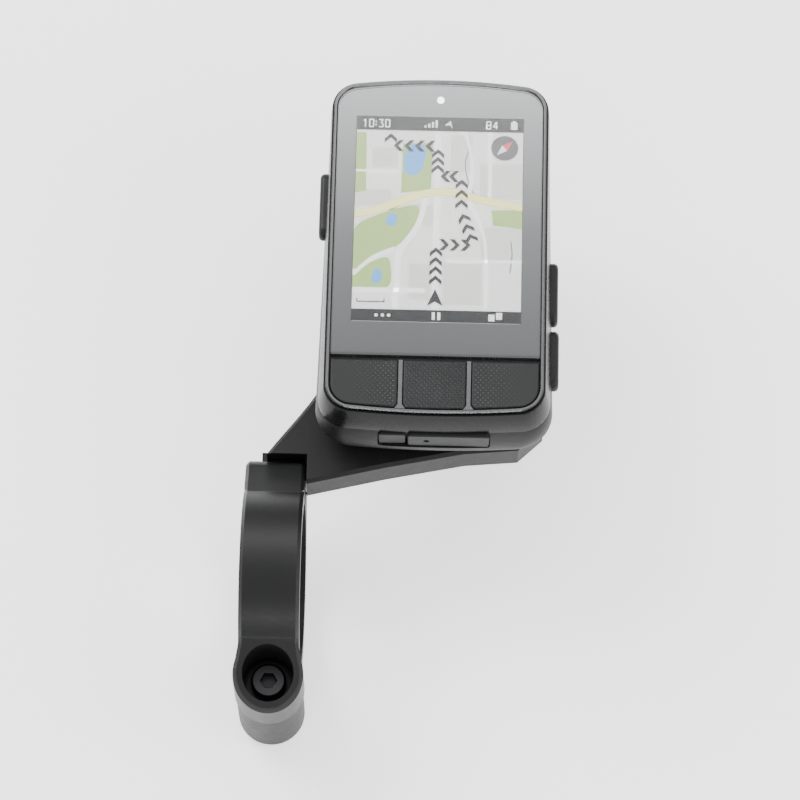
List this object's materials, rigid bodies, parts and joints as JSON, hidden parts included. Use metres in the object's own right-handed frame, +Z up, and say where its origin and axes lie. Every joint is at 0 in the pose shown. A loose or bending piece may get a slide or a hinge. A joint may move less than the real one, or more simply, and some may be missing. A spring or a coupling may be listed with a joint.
{
  "type": "cycling computer",
  "caption": "Bicycle computer with a portrait screen, keys below it and on its sides, twist-locked on an out-front handlebar arm with a hinged bolt-up clamp.",
  "frame": {"origin": "centre of the clamp's bore, on the handlebar's axis", "axes": "+X along the handlebar to the rider's right, +Y forwards along the computer's length, +Z up, square to the screen"},
  "size_m": [0.0632, 0.1281, 0.0493],
  "materials": {
    "case_plastic": "matt",
    "mount_plastic": "matt",
    "lock_plastic": "satin",
    "key_rubber": "matt",
    "flap_rubber": "matt",
    "seal_rubber": "matt",
    "bezel_metal": "satin",
    "cover_glass": "polished",
    "black_mask": "gloss",
    "display": "gloss",
    "white_plastic": "matt",
    "light_pipe": "gloss",
    "switch_plastic": "matt",
    "circuit_board": "satin",
    "ceramic_block": "matt",
    "battery_foil": "satin",
    "steel": "brushed",
    "bolt_steel": "black oxide",
    "brass": "knurled"
  },
  "bodies": {
    "mount": {"mount_arm": "mount_plastic", "lock_ring": "lock_plastic", "lock_ring_screws": "steel", "threaded_insert": "brass", "hinge_pin": "steel"},
    "clamp_band": {"clamp_band": "mount_plastic"},
    "bolt_washer": {"bolt_washer": "steel"},
    "clamp_bolt": {"clamp_bolt": "bolt_steel"},
    "computer": {"rear_shell": "case_plastic", "front_shell": "case_plastic", "case_gasket": "seal_rubber", "bezel_ring": "bezel_metal", "lens": "cover_glass", "lens_adhesive": "black_mask", "display_panel": "display", "display_backlight": "white_plastic", "display_tray": "steel", "status_light": "light_pipe", "key_seal": "seal_rubber", "key_switches": "switch_plastic", "side_switches": "switch_plastic", "main_board": "circuit_board", "shield_can": "steel", "satellite_antenna": "ceramic_block", "buzzer": "steel", "usb_socket": "steel", "battery": "battery_foil", "vent_membrane": "white_plastic", "usb_cover_anchor": "flap_rubber", "twist_insert": "lock_plastic", "insert_screws": "steel", "case_screws": "steel"},
    "usb_cover": {"usb_cover": "flap_rubber"},
    "left_button": {"left_button": "key_rubber"},
    "centre_button": {"centre_button": "key_rubber"},
    "right_button": {"right_button": "key_rubber"},
    "power_button": {"power_button": "key_rubber"},
    "up_button": {"up_button": "key_rubber"},
    "down_button": {"down_button": "key_rubber"}
  },
  "joints": [
    {"name": "clamp_bolt_turn", "type": "hinge", "parent": "bolt_washer", "child": "clamp_bolt", "pos_m": [0, -0.0215, 0], "axis": [0, 0, 1], "range_deg": [0, 3421]},
    {"name": "clamp_washer_lift", "type": "slide", "parent": "mount", "child": "bolt_washer", "axis": [0, 0, 1], "range_m": [0, 0.00665]},
    {"name": "clamp_band_swing", "type": "hinge", "parent": "mount", "child": "clamp_band", "pos_m": [0, 0.0203, 0.0046], "axis": [-1, 0, 0], "range_deg": [0, 8.05]},
    {"name": "computer_twist", "type": "hinge", "parent": "mount", "child": "computer", "pos_m": [0.0315, 0.0625, 0.0055], "axis": [0, 0, 1], "range_deg": [0, 90]},
    {"name": "left_key_press", "type": "slide", "parent": "computer", "child": "left_button", "axis": [0, 0, -1], "range_m": [0, 0.0005], "stiffness_N_per_m": 900},
    {"name": "centre_key_press", "type": "slide", "parent": "computer", "child": "centre_button", "axis": [0, 0, -1], "range_m": [0, 0.0005], "stiffness_N_per_m": 900},
    {"name": "right_key_press", "type": "slide", "parent": "computer", "child": "right_button", "axis": [0, 0, -1], "range_m": [0, 0.0005], "stiffness_N_per_m": 900},
    {"name": "power_key_press", "type": "slide", "parent": "computer", "child": "power_button", "axis": [1, 0, 0], "range_m": [0, 0.0005], "stiffness_N_per_m": 900},
    {"name": "up_key_press", "type": "slide", "parent": "computer", "child": "up_button", "axis": [-1, 0, 0], "range_m": [0, 0.0005], "stiffness_N_per_m": 900},
    {"name": "down_key_press", "type": "slide", "parent": "computer", "child": "down_button", "axis": [-1, 0, 0], "range_m": [0, 0.0005], "stiffness_N_per_m": 900},
    {"name": "usb_cover_open", "type": "hinge", "parent": "computer", "child": "usb_cover", "pos_m": [0.0262, 0.0237, 0.0193], "axis": [0, 0, -1], "range_deg": [0, 110]}
  ],
  "couplings": [
    {"joint": "clamp_bolt_turn", "follows": "clamp_washer_lift", "rad_per_m": 8976},
    {"joint": "clamp_band_swing", "follows": "clamp_washer_lift", "rad_per_m": 20.996}
  ]
}
